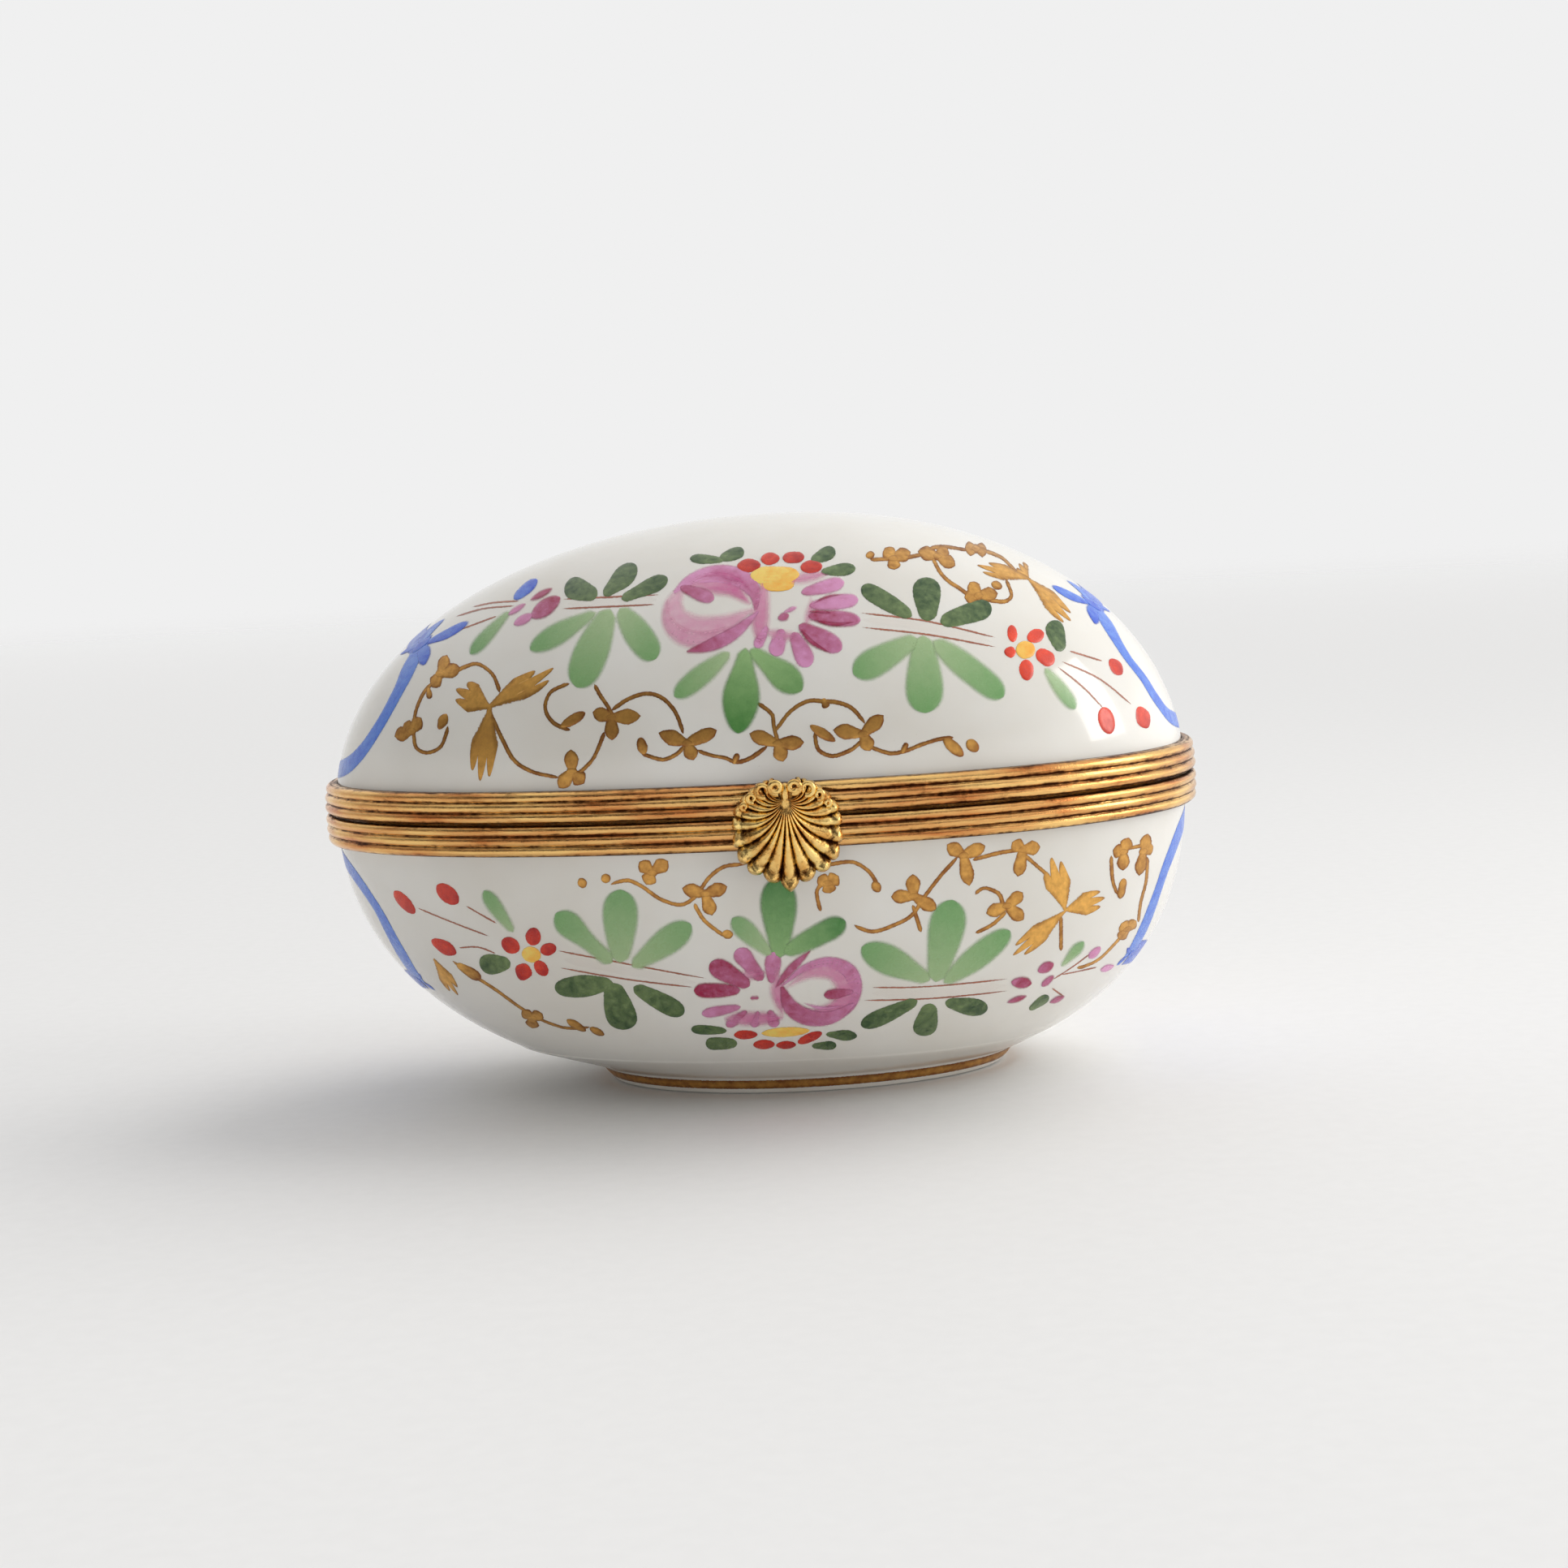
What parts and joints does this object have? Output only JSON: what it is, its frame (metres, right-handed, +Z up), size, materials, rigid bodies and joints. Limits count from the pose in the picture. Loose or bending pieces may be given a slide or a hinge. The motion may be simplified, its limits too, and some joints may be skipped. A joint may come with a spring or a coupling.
{
  "type": "porcelain trinket box",
  "caption": "Egg-shaped porcelain trinket box on a low foot ring, with reeded brass bezels, a rear hinge and a shell clasp in front.",
  "frame": {"origin": "on the table, under the middle of the box's overall length and depth", "axes": "+X along the length towards the blunt end, -Y towards the clasp in front, +Z up"},
  "size_m": [0.1014, 0.0739, 0.0653],
  "materials": {
    "porcelain": "clear glaze, hand-painted flowers and gilding",
    "gilt_brass": "worn gilt over brass, brown in the grooves",
    "bright_gilt": "bright cast gilt",
    "steel": "drawn wire",
    "plaster": "matt plaster"
  },
  "bodies": {
    "base": {"base_porcelain": "porcelain", "base_plaster_bedding": "plaster", "base_bezel": "gilt_brass", "locating_collar": "gilt_brass", "base_hinge_leaf": "gilt_brass", "base_knuckle_left": "gilt_brass", "base_knuckle_middle": "gilt_brass", "base_knuckle_right": "gilt_brass", "hinge_pin": "steel", "catch_stud": "gilt_brass"},
    "lid": {"lid_porcelain": "porcelain", "lid_plaster_bedding": "plaster", "lid_bezel": "gilt_brass", "lid_hinge_leaf": "gilt_brass", "lid_knuckle_left": "gilt_brass", "lid_knuckle_right": "gilt_brass", "clasp_mount_plate": "gilt_brass"},
    "clasp": {"clasp_spring_tongue": "gilt_brass", "shell_clasp": "bright_gilt"}
  },
  "joints": [
    {"name": "lid_hinge", "type": "hinge", "parent": "base", "child": "lid", "pos_m": [0.0034, 0.0358, 0.0335], "axis": [-1, 0, 0], "range_deg": [0, 95]},
    {"name": "clasp_flex", "type": "hinge", "parent": "lid", "child": "clasp", "pos_m": [0.0034, -0.03458, 0.0362], "axis": [-1, 0, 0], "range_deg": [0, 6], "stiffness_Nm_per_rad": 0.05}
  ]
}
